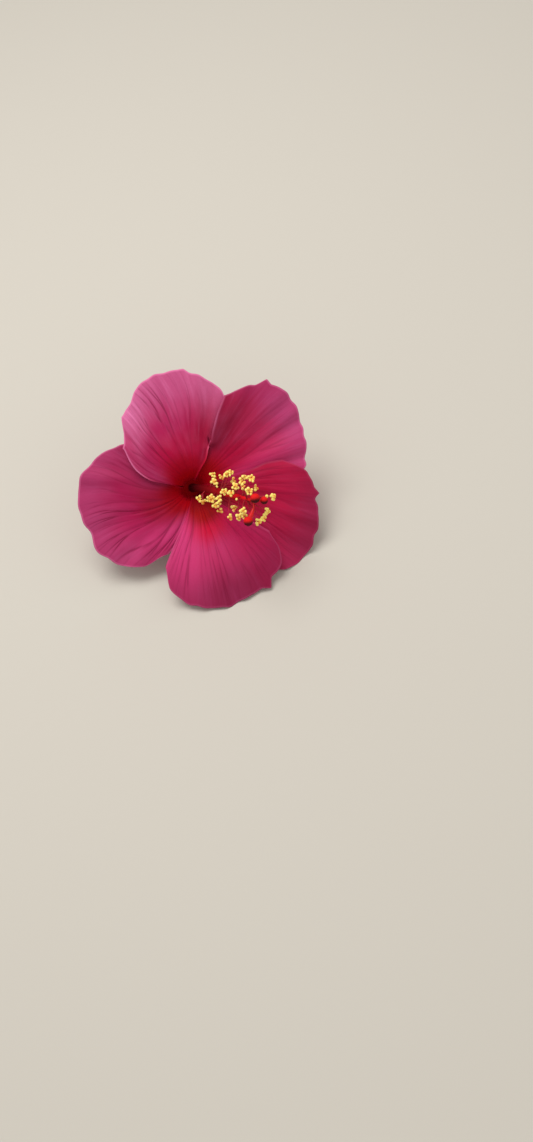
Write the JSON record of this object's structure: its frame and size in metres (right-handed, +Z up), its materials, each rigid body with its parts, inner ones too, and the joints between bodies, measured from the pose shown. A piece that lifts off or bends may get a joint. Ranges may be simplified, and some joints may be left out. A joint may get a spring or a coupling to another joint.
{
  "type": "hibiscus blossom",
  "caption": "Picked hibiscus blossom with crimson-pink petals, a leaning red column of yellow anthers and red stigmas, lying face up.",
  "frame": {"origin": "centre of the bounding box, at the surface the blossom rests on", "axes": "+Z up from the surface, +X along the blossom's width, -Y the way its face leans"},
  "size_m": [0.1124, 0.0922, 0.0681],
  "materials": {
    "petal": "fresh petal, crimson pink, soft satin",
    "column": "red filament tube with yellow anthers",
    "pistil": "red style and velvety red stigmas",
    "calyx": "green, finely downy",
    "bract": "green, matte",
    "stalk": "green herbaceous stalk, freshly cut"
  },
  "bodies": {
    "root": {"petal_upper_right": "petal", "petal_upper_left": "petal", "petal_left": "petal", "petal_bottom": "petal", "petal_right": "petal", "staminal_column": "column", "pistil": "pistil", "calyx": "calyx", "epicalyx": "bract", "stalk": "stalk"}
  },
  "joints": []
}
